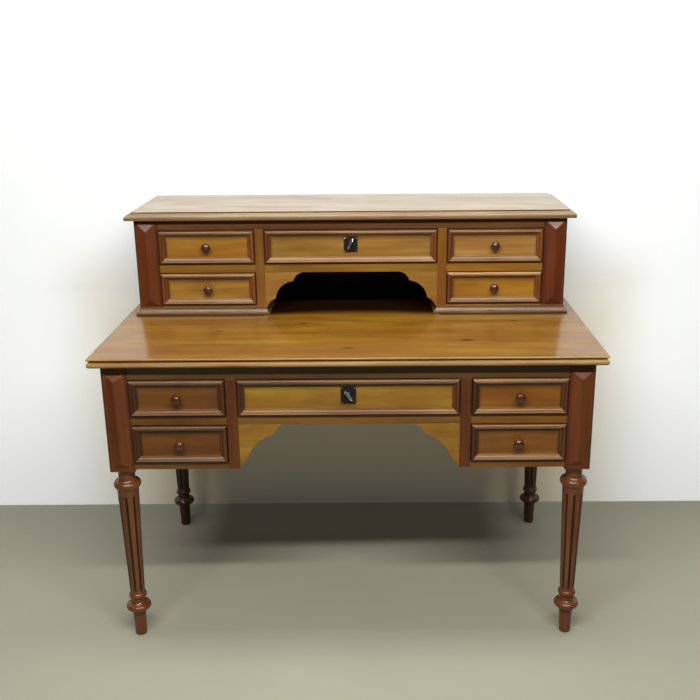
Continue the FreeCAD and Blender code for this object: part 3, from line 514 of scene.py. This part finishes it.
# %% Choose the woods of the case
hutch_post = dict(varnish=0.2, dark_where=post_edges(0.505, 0.565, 0.042))
case_woods = {
    "main_top": ("#865F18", "top", dict(knots=0.06, board=0.230, rings=20.0, streaks=0.26, gloss=0.25,
                                        varnish=0.5, polish=0.10, dark_where=top_shadow_and_knots)),
    "hutch_top": ("#977B33", "top", dict(knots=0.08, board=0.17, streaks=0.24, gloss=0.25, varnish=0.7,
                                         polish=0.14)),
    "hutch_top_rail": ("#5F3A14", "rail", {}),
    "hutch_shelf_centre": ("#815C18", "rail", {}),
    "hutch_brackets": ("#916B2A", "rail", {}),
    "hutch_shelves_left": ("#8A6420", "rail", {}),
    "hutch_shelves_right": ("#936B1B", "rail", {}),
    "hutch_divider_left": ("#794E16", "post", {}),
    "hutch_divider_right": ("#794C0A", "post", {}),
    "hutch_side_left": ("#612F0A", "post", hutch_post),
    "hutch_side_right": ("#5F2A08", "post", hutch_post),
    "hutch_back": ("#2A1C10", "rail", dict(gloss=0.6, varnish=0.0)),
    # The plinth's foot is painted dark, as painted contact shadow where it stands on the writing top.
    "hutch_plinth": ("#6B5025", "rail", dict(varnish=0.6,
                                            dark_where=shade_below(0.7577, fade=0.0010, strength=0.90))),
    "base_top_rail": ("#573B15", "rail", {}),
    "base_shelf_centre": ("#735016", "rail", {}),
    "base_brackets": ("#946E22", "rail", {}),
    "base_shelves_left": ("#654111", "rail", {}),
    "base_shelves_right": ("#7A4D10", "rail", {}),
    "base_divider_left": ("#5B2F09", "post", {}),
    "base_divider_right": ("#592F0B", "post", {}),
    "base_sides": ("#66300F", "side", {}),
    "base_back": ("#5C4228", "rail", dict(gloss=0.6, varnish=0.0)),
}
# Painted light and shade on the moulded edges: step_wood darkens the steps as painted shade, the rounds
# are pale as a painted highlight and darker low down as painted shade, and quirk_wood lightens the
# writing top's step as painted light.
step_wood = wood("step_wood", "#6A4418", "rail", 5, gloss=0.4, varnish=0.2)
edge_woods = {
    "main_top": [wood("main_round", "#A8844E", "rail", 27, varnish=0.6,
                      dark_where=shade_below(0.7375, fade=0.0028, strength=0.48)),
                 wood("quirk_wood", "#997640", "rail", 6, gloss=0.4, varnish=0.1)],
    "hutch_top": [wood("hutch_round", "#8E7858", "rail", 28, varnish=0.3,
                       dark_where=shade_below(1.0165, fade=0.0025, strength=0.40)), step_wood],
    "hutch_plinth": [step_wood, wood("plinth_cove", "#725338", "rail", 29, varnish=0.5)],
}
print(len(case_woods), "boards, of which", len(edge_woods), "have a moulded edge")

# %% [markdown]
# The bands of a moulded edge get woods of their own, chosen as painted light and shade. The rounds are
# carded pale as a painted highlight, with painted shade on their lower side. The steps of the cabinet's
# top and plinth are carded darker as painted shade, and the step of the writing top is carded lighter
# than the top as painted light. A step or a round is found by its height over the board's underside and
# its distance from the board's edge.
# `EDGE_BANDS` gives each band's foot, top and the number of its wood, where 0 is
# the board's own.

# %% Finish the case boards
EDGE_BANDS = {
    "main_top": [(0.0005, 0.0088, 1), (0.0088, 0.0229, 2)],
    "hutch_top": [(0.0015, 0.0172, 1), (0.0172, 0.0193, 2)],
    "hutch_plinth": [(0.0055, 0.0070, 1), (0.0085, 0.0165, 2)],
}
EDGE_DEPTH = 0.0200
TOP_EASE, BOARD_EASE = 0.0012, 0.0009


def edge_sorter(node):
    """How to sort the faces of a board whose edge is moulded."""
    low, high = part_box(node)

    def sort(spot):
        inside = min(spot.x - low.x, high.x - spot.x, spot.y - low.y)
        rise = spot.z - low.z
        for foot, top, slot in EDGE_BANDS[node]:
            if foot < rise < top and inside < EDGE_DEPTH:
                return slot
        return 0

    return sort


for seed, (node, (card, lay, extra)) in enumerate(case_woods.items(), start=1):
    woods = [wood(node + "_wood", card, lay, seed, **extra)] + edge_woods.get(node, [])
    piece = copy_of(node, woods, edge_sorter(node) if node in edge_woods else None)
    ease_edges(piece, TOP_EASE if node in ("main_top", "hutch_top") else BOARD_EASE)
    place(piece, node)
print(len(case_woods), "case pieces finished")

# %% [markdown]
# ## Legs
#
# A leg starts as a square block. Below it the lathe cuts the neck, the collar, the tapering shaft and
# the ring over the foot, and a round plane cuts the eight flutes. The frame's leg is already fine
# enough, so it only needs its block and prism eased and its flutes darkened, as painted shade in their
# hollows. The blocks have less varnish than the turned part, and the wood of the two legs at the back is
# painted darker, as painted shade for the shadow that they stand in.

# %% Finish the legs
SHAFT_FOOT, SHAFT_TOP = 0.122, 0.408
SHAFT_LOW_RADIUS, SHAFT_HIGH_RADIUS = 0.018, 0.026
FLUTE_FOOT, FLUTE_TOP, FLUTE_START = 0.1272, 0.3938, 0.0008
BLOCK_START = 0.4651
LEG_CARD = "#6A390E"
BLOCK_CARDS = {"left": "#64330A", "right": "#5F2E09"}
REAR_SHADE, FLUTE_SHADE = 0.45, 0.12
LEG_EASE = 0.0006


def leg_sorter(node):
    """How to sort a leg's faces: 0 turned wood, 1 flutes, 2 block and prism."""
    low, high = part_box(node)
    axis_x = (low.x + high.x) / 2
    axis_y = high.y - (high.x - low.x) / 2

    def sort(spot):
        out = math.hypot(spot.x - axis_x, spot.y - axis_y)
        share = (spot.z - SHAFT_FOOT) / (SHAFT_TOP - SHAFT_FOOT)
        shaft = SHAFT_LOW_RADIUS + share * (SHAFT_HIGH_RADIUS - SHAFT_LOW_RADIUS)
        if FLUTE_FOOT < spot.z < FLUTE_TOP and out < shaft - FLUTE_START:
            return 1
        return 2 if spot.z > BLOCK_START else 0

    return sort


for seed, node in enumerate(("leg_front_left", "leg_front_right", "leg_rear_left",
                             "leg_rear_right"), start=31):
    # Painted shade: the rear legs' wood is darkened, and the flutes' wood darker still.
    value = REAR_SHADE if "rear" in node else 1.0
    woods = [wood(node + "_wood", LEG_CARD, "post", seed, value=value, gloss=0.30, varnish=0.45,
                  polish=0.14),
             wood(node + "_flute_wood", LEG_CARD, "post", seed, value=FLUTE_SHADE * value,
                  gloss=0.42, varnish=0.1),
             wood(node + "_block_wood", BLOCK_CARDS[node.split("_")[-1]], "post", seed, value=value,
                  gloss=0.48, varnish=0.03, dark_where=post_edges(0.515, 0.575, -0.325))]
    piece = copy_of(node, woods, leg_sorter(node))
    ease_edges(piece, LEG_EASE)
    place(piece, node)
print("4 legs finished")

# %% [markdown]
# ## Drawer fronts
#
# Each front is a thin board with a moulding mitred round it. The moulding is cut from a redder wood than
# the panel, its top and bottom runs lie along the desk and its stands upright, so the grain turns at
# each mitre. The copy's faces are sorted by the side that they lie nearest to and by their way in from
# the rim. The woods of the bands are lit and shaded tones of the moulding's wood. The rim and the narrow
# steps carry painted shadow and the inner part of the top run carries painted shade. The crests, ridge,
# arris and cove carry painted highlights and light, and the right stands are painted lighter than the
# left. A pair of factors for each bank of drawers says how much lighter these painted tones are there,
# for the top run and the bottom run. The limits of the bands fall between two narrow strips of the
# moulding, and `SLACK` keeps a strip whose middle is a hair past its limit in the right band.

# %% Finish the drawer fronts
fronts = [node for node in body_of if node.endswith("_front")]
panel_cards = {
    "hutch_left_upper_front": "#976D1D", "hutch_left_lower_front": "#946B23",
    "hutch_right_upper_front": "#A17B3C", "hutch_right_lower_front": "#966919",
    "hutch_centre_front": "#926D2C", "base_centre_front": "#967222",
    "base_left_upper_front": "#6C4417", "base_left_lower_front": "#694012",
    "base_right_upper_front": "#7C4F12", "base_right_lower_front": "#7D4F16",
}
FRAME_WIDTH, PANEL_THICKNESS = 0.0175, 0.020
FRONT_EASE = 0.0005
RIM_WITHIN, RIM_BEHIND = 0.0004, 0.002
PANEL_SLACK, SLACK = 0.0002, 0.0003
# Cards of the moulding's bands, chosen as painted light and shade. Rim, run and quirk are darker as
# painted shadow and shade, the crests, ridge, arris and cove are lighter as painted highlights and
# light, and the right stand is a lit copy of the left.
frame_cards = {
    "hutch": {"rim": "#4A260E", "run": "#4A2A0E", "crest": "#8B6E4C", "quirk": "#74593C",
              "ridge": "#8E7455", "top_crest": "#997C4F", "top_arris": "#C9A876", "top_cove": "#765222",
              "left_stand": "#683810", "right_stand": "#7C4A18"},
    "base": {"rim": "#30180A", "run": "#3A2410", "crest": "#755331", "quirk": "#6A4B2C",
             "ridge": "#846646", "top_crest": "#624729", "top_arris": "#907145", "top_cove": "#7A5A34",
             "left_stand": "#44250E", "right_stand": "#5A3414"},
}
BANK_HIGHLIGHT = {"hutch_left": (1.0, 1.0), "hutch_centre": (1.0, 1.45), "hutch_right": (1.15, 1.05),
          "base_left": (1.0, 1.0), "base_centre": (1.15, 1.3), "base_right": (1.8, 1.5)}
FRAME_SLOTS = ["panel"] + list(frame_cards["base"])
# How far the top rim's painted shadow reaches on each row of drawers.
TOP_RIM = {"hutch_upper": 0.0037, "hutch_lower": 0.0008, "base_upper": 0.0006, "base_lower": 0.0006}


def frame_bands(node):
    """The woods met on the way in from a front's edge, on each of its four sides."""
    row = node.split("_")[0] + ("_lower" if "lower" in node else "_upper")
    stands = {side: [(0.0022, "rim"), (0.0160, side + "_stand"), (FRAME_WIDTH, "rim")]
              for side in ("left", "right")}
    return {"top": [(TOP_RIM[row], "rim"), (0.0047, "top_crest"), (0.0057, "quirk"),
                    (0.0082, "top_crest"), (0.0101, "top_arris"), (0.01315, "top_cove"),
                    (FRAME_WIDTH, "run")],
            "bottom": [(0.0047, "rim"), (0.0082, "ridge"), (0.0101, "quirk"), (FRAME_WIDTH, "crest")],
            **stands}


def front_sorter(node, bands):
    """How to sort a front's faces by their side of the frame and their way in from its rim."""
    low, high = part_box(node)
    face_plane = high.y - PANEL_THICKNESS

    def sort(spot):
        gaps = {"bottom": spot.z - low.z, "top": high.z - spot.z,
                "left": spot.x - low.x, "right": high.x - spot.x}
        side = min(gaps, key=gaps.get)
        on_rim = gaps[side] < RIM_WITHIN and spot.y < face_plane + RIM_BEHIND
        if spot.y > face_plane - PANEL_SLACK and not on_rim:
            return 0
        for limit, slot in bands[side]:
            if gaps[side] < limit + SLACK:
                return FRAME_SLOTS.index(slot)
        return 0

    return sort


for seed, node in enumerate(fronts, start=51):
    stage, side = node.split("_")[:2]
    top_highlight, bottom_highlight = BANK_HIGHLIGHT["%s_%s" % (stage, side)]
    # The painted highlights and lighter bands of each bank are scaled by its pair of factors.
    pale = {"top_crest": top_highlight, "top_arris": top_highlight, "top_cove": top_highlight,
            "ridge": bottom_highlight, "quirk": bottom_highlight, "crest": bottom_highlight}
    # Painted shadow under the top of the frame, with darker strips by the stands.
    border = frame_shadow_and_border(*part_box(node), FRAME_WIDTH, 0.7 if side == "left" else 0.3)
    woods = [wood(node + "_panel", panel_cards[node], "rail", seed, knots=0.05, dark_where=border)]
    for slot in FRAME_SLOTS[1:]:
        lay = "post" if slot.endswith("stand") else "rail"
        woods.append(wood("%s_%s" % (node, slot), frame_cards[stage][slot], lay, seed + 20,
                          value=pale.get(slot, 1.0), gloss=0.38, varnish=0.2))
    piece = copy_of(node, woods, front_sorter(node, frame_bands(node)))
    ease_edges(piece, FRONT_EASE)
    place(piece, node)
print(len(fronts), "drawer fronts finished")

# %% [markdown]
# ## Drawer boxes
#
# The boxes never show while the drawers are shut. They are plain pale wood
# without varnish, as every maker leaves them.

# %% Finish the drawer boxes
boxes = [node for node in body_of if node.endswith("_box")]
for seed, node in enumerate(boxes, start=81):
    lining = wood(node + "_lining", "#B48850", "depth", seed, gloss=0.62, varnish=0.0, stain=0.15)
    piece = copy_of(node, [lining])
    ease_edges(piece, 0.0004, segments=1)
    place(piece, node)
print(len(boxes), "drawer boxes finished")

# %% [markdown]
# ## Knobs
#
# The knobs are turned from dark wood: a seat, a thin neck and a ball that is a
# little flattened. The profile is drawn as a row of points, spun round the
# knob's axis and welded. One knob is made and then copied to all eight places.

# %% Turn the knobs
KNOB_REACH = 0.022
KNOB_PROFILE = [(0.0, 0.0150), (0.0040, 0.0150), (0.0040, 0.0), (0.0073, 0.0), (0.0075, -0.0003),
                (0.0075, -0.0012), (0.0071, -0.0017), (0.0056, -0.0024), (0.0048, -0.0038),
                (0.0048, -0.0052), (0.0056, -0.0063), (0.0076, -0.0074), (0.0098, -0.0092),
                (0.0113, -0.0113), (0.0119, -0.0135), (0.0117, -0.0157), (0.0107, -0.0180),
                (0.0088, -0.0200), (0.0060, -0.0213), (0.0030, -0.0219), (0.0, -0.0220)]


def turn_profile(name, profile):
    """Spin a profile of (radius, depth) points round the Y axis."""
    mesh = bpy.data.meshes.new(name)
    spots = [(radius, depth, 0.0) for radius, depth in profile]
    mesh.from_pydata(spots, [(i, i + 1) for i in range(len(spots) - 1)], [])
    piece = new_piece(name, mesh)
    choose(piece)
    bpy.ops.object.mode_set(mode="EDIT")
    bpy.ops.mesh.select_all(action="SELECT")
    bpy.ops.mesh.spin(steps=48, angle=math.tau, center=(0, 0, 0), axis=(0, 1, 0))
    bpy.ops.mesh.select_all(action="SELECT")
    bpy.ops.mesh.remove_doubles(threshold=2 * WELD)
    bpy.ops.mesh.normals_make_consistent(inside=False)
    bpy.ops.object.mode_set(mode="OBJECT")
    bpy.ops.object.shade_smooth_by_angle(angle=math.radians(50))
    return piece


knobs = [node for node in body_of if node.endswith("_knob")]
turned = turn_profile("turned_knob", KNOB_PROFILE)
for seed, node in enumerate(knobs, start=101):
    low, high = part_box(node)
    piece = new_piece(node + "_turned", turned.data.copy())
    piece.data.transform(Matrix.Translation(((low.x + high.x) / 2, low.y + KNOB_REACH,
                                             (low.z + high.z) / 2)))
    piece.data.materials.append(wood(node + "_wood", "#48200F", "depth", seed, gloss=0.30,
                                     varnish=0.8, polish=0.10))
    place(piece, node)
bpy.data.objects.remove(turned)
print(len(knobs), "knobs turned")

# %% [markdown]
# ## Locks and keys
#
# The two wide drawers have square iron plates, blackened and a little rough,
# each held by four small pins. A steel key stands in each lock, with an oval
# ring as its bow. Its edges are eased more than a board's, because a ring that
# is turned by hand for years loses every corner. A metal's dull spots of
# tarnish are set by `speckle`, their number along a metre, and `share`, the
# bright part of the surface.

# %% Metals
def metal(name, bright, dull, polish, speckle=260.0, share=0.5):
    """Metal whose bright places are broken up by dull spots of tarnish."""
    material, tree, shader = new_material(name)
    spot = add(tree, "TexCoord").outputs["Object"]
    cloud = noise(tree, stretch(tree, spot, (speckle,) * 3), detail=4.0, roughness=0.65)
    tarnish = spread(tree, cloud, share - 0.12, share + 0.12, smooth=True)
    tree.links.new(blend_colours(tree, tarnish, paint(bright), paint(dull)), shader.inputs["Base Color"])
    tree.links.new(spread(tree, tarnish, 0.0, 1.0, polish, polish + 0.25), shader.inputs["Roughness"])
    shader.inputs["Metallic"].default_value = 1.0
    bump = add(tree, "Bump", {"Height": cloud, "Strength": 0.35, "Distance": 0.0004})
    tree.links.new(bump.outputs[0], shader.inputs["Normal"])
    return material


iron = metal("blackened_iron", "#4A4444", "#2A2424", 0.42)
steel = metal("worn_steel", "#DAD8D4", "#8A847E", 0.24, speckle=420.0, share=0.62)
print("metals:", iron.name, "and", steel.name)

# %% Finish plates, bolts and keys
for stage in ("base", "hutch"):
    for part, material, width, segments in (("lock", iron, 0.0004, 2), ("bolt", steel, 0.0004, 2),
                                            ("key", steel, 0.0011, 3)):
        node = "%s_centre_%s" % (stage, part)
        piece = copy_of(node, [material])
        ease_edges(piece, width, segments, corner=40)
        place(piece, node)
print("2 plates, 2 bolts and 2 keys finished")

# %% Pin the plates
PLATE_DROP = 0.0185
PIN_RADIUS, PIN_SUNK = 0.0015, 0.0001
PIN_PLACES = {"upper_left": (-0.0145, -0.0035), "upper_right": (0.0145, -0.0035),
              "lower_left": (-0.0145, -0.0385), "lower_right": (0.0145, -0.0385)}

for stage in ("base", "hutch"):
    node = stage + "_centre_lock"
    low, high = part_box(node)
    plate_top = high.z - PLATE_DROP
    for name, (x, z) in PIN_PLACES.items():
        bpy.ops.object.select_all(action="DESELECT")
        bpy.ops.mesh.primitive_uv_sphere_add(segments=20, ring_count=12, radius=PIN_RADIUS,
                                             location=(x, low.y + PIN_SUNK, plate_top + z))
        pin = bpy.context.active_object
        pin.name = "%s_plate_pin_%s" % (stage, name)
        bpy.ops.object.transform_apply(location=True, rotation=False, scale=False)
        bpy.ops.object.shade_smooth()
        pin.data.materials.append(steel)
        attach(pin, body_of[node])
print(2 * len(PIN_PLACES), "pins set")

# %% [markdown]
# ## Floor, wall and light
#
# The desk stands on a plain pale floor before a white wall. To the camera the
# floor glows by a trace, so that the shadows on it are not quite closed.

# %% Lay the floor
bpy.ops.object.select_all(action="DESELECT")
bpy.ops.mesh.primitive_plane_add(size=14.0, location=(0.0, 0.0, 0.0))
floor = bpy.context.active_object
floor.name = "floor"
floor_paint, tree, shader = new_material("pale_floor")
cloud = noise(tree, stretch(tree, add(tree, "TexCoord").outputs["Object"], (2.2,) * 3), detail=5.0)
tree.links.new(blend_colours(tree, cloud, paint("#A9A792"), paint("#989584")),
               shader.inputs["Base Color"])
shader.inputs["Roughness"].default_value = 0.7
shader.inputs["Emission Color"].default_value = paint("#F0EAD0")
tree.links.new(maths(tree, "MULTIPLY", add(tree, "LightPath").outputs["Is Camera Ray"], 0.022),
               shader.inputs["Emission Strength"])
floor.data.materials.append(floor_paint)
print("floor laid")

# %% [markdown]
# The wall is there for the eye and for reflections only: other rays pass through it, so it takes no
# light from the back of the desk, and from behind it can't be seen. It is white beside and above the
# desk, and low down behind the desk it is carded cream, as painted warm light thrown back from the wood
# into the desk's shadow. It glows a little, most where the wall stands open to the room, as painted
# light there.

# %% Raise the wall
WALL_MIDDLE, WALL_SIZE = (0.0, 0.43, 1.75), (10.0, 3.5, 1.0)
OPEN_FROM, OPEN_TO = 0.50, 1.00
GLOW_LOW, GLOW_HIGH = 0.45, 1.20

bpy.ops.object.select_all(action="DESELECT")
bpy.ops.mesh.primitive_plane_add(size=1.0, location=WALL_MIDDLE, rotation=(math.pi / 2, 0.0, 0.0))
wall = bpy.context.active_object
wall.name = "wall"
wall.scale = WALL_SIZE
bpy.ops.object.transform_apply(location=True, rotation=True, scale=True)
wall_paint, tree, shader = new_material("white_wall")
shader.inputs["Roughness"].default_value = 0.9
shader.inputs["Specular IOR Level"].default_value = 0.0
shader.inputs["Emission Color"].default_value = (1.0, 1.0, 1.0, 1.0)
axes = object_axes(tree)
# Painted light: cream low down behind the desk, and more glow where the wall stands open.
open_wall = spread(tree, maths(tree, "ABSOLUTE", axes["X"]), OPEN_FROM, OPEN_TO, smooth=True)
white = maths(tree, "MAXIMUM", open_wall, spread(tree, axes["Z"], 0.30, 0.90))
tree.links.new(blend_colours(tree, white, paint("#DCCC98"), paint("#EDEFEE")),
               shader.inputs["Base Color"])
shaded_glow = spread(tree, axes["Z"], GLOW_LOW, GLOW_HIGH, 0.04, 0.18, smooth=True)
open_glow = spread(tree, axes["Z"], GLOW_LOW, GLOW_HIGH, 0.27, 0.20, smooth=True)
tree.links.new(blend_numbers(tree, open_wall, shaded_glow, open_glow),
               shader.inputs["Emission Strength"])
rays = add(tree, "LightPath").outputs
seen = maths(tree, "MAXIMUM", rays["Is Camera Ray"], rays["Is Glossy Ray"])
facing = maths(tree, "SUBTRACT", 1.0, add(tree, "NewGeometry").outputs["Backfacing"])
through = add(tree, "BsdfTransparent")
shown = add(tree, "MixShader", (maths(tree, "MULTIPLY", seen, facing), through.outputs[0],
                                shader.outputs[0]))
tree.links.new(shown.outputs[0], tree.nodes["Material Output"].inputs["Surface"])
wall.data.materials.append(wall_paint)
print("wall raised")

# %% [markdown]
# A strip light over the person who sits at the desk gives most of the light, and
# a wide lamp at the ceiling fills in from above. The sky round the room shines a
# little on everything, and to the camera it is nearly white.

# %% Lamps and sky
def lamp(name, power, size, location, aim):
    light = bpy.data.lights.new(name, "AREA")
    light.energy = power
    light.shape = "RECTANGLE"
    light.size, light.size_y = size
    holder = new_piece(name, light)
    holder.location = location
    holder.rotation_euler = (Vector(aim) - Vector(location)).to_track_quat("-Z", "Y").to_euler()
    return holder


strip = lamp("strip_light", power=66.0, size=(2.4, 0.10), location=(0.05, -1.66, 2.19),
             aim=(0.0, -0.2, 0.80))
ceiling = lamp("ceiling_light", power=14.0, size=(3.0, 0.6), location=(0.0, -0.3, 3.2),
               aim=(0.0, -0.3, 0.0))
ceiling.data.spread = math.radians(90)

SKY_LIGHT, SKY_SEEN = 0.05, 0.95
sky = bpy.data.worlds.new("soft_room")
bpy.context.scene.world = sky
sky.use_nodes = True
tree = sky.node_tree
rays = add(tree, "LightPath").outputs
strength = maths(tree, "MULTIPLY_ADD", rays["Is Camera Ray"], SKY_SEEN - SKY_LIGHT, SKY_LIGHT)
tree.nodes["Background"].inputs["Color"].default_value = (1.0, 1.0, 1.0, 1.0)
tree.links.new(strength, tree.nodes["Background"].inputs["Strength"])
print("lit by", strip.name, "and", ceiling.name)

# %% [markdown]
# ## Camera
#
# The camera stands a little right of the middle, two metres in front of the
# desk and 1.4 m over the floor, and looks down on it. Its head leans by less
# than half a degree.

# %% Place the camera
EYE = (0.0688, -2.3722, 1.4095)
YAW, PITCH, ROLL = (math.radians(angle) for angle in (-0.1336, 17.3947, -0.4243))
forward = Vector((math.sin(YAW) * math.cos(PITCH), math.cos(YAW) * math.cos(PITCH), -math.sin(PITCH)))
right = Vector((math.cos(YAW), -math.sin(YAW), 0.0))
up = right.cross(forward)
side = right * math.cos(ROLL) + up * math.sin(ROLL)
head = up * math.cos(ROLL) - right * math.sin(ROLL)

camera = new_piece("camera", bpy.data.cameras.new("camera"))
turn = Matrix((side, head, -forward)).transposed().to_4x4()
camera.matrix_world = Matrix.Translation(EYE) @ turn
camera.data.sensor_width = 36.0
camera.data.lens = 47.92
camera.data.shift_x = -0.0365
bpy.context.scene.camera = camera
bpy.context.scene.view_settings.view_transform = "Standard"
print("camera at", EYE)
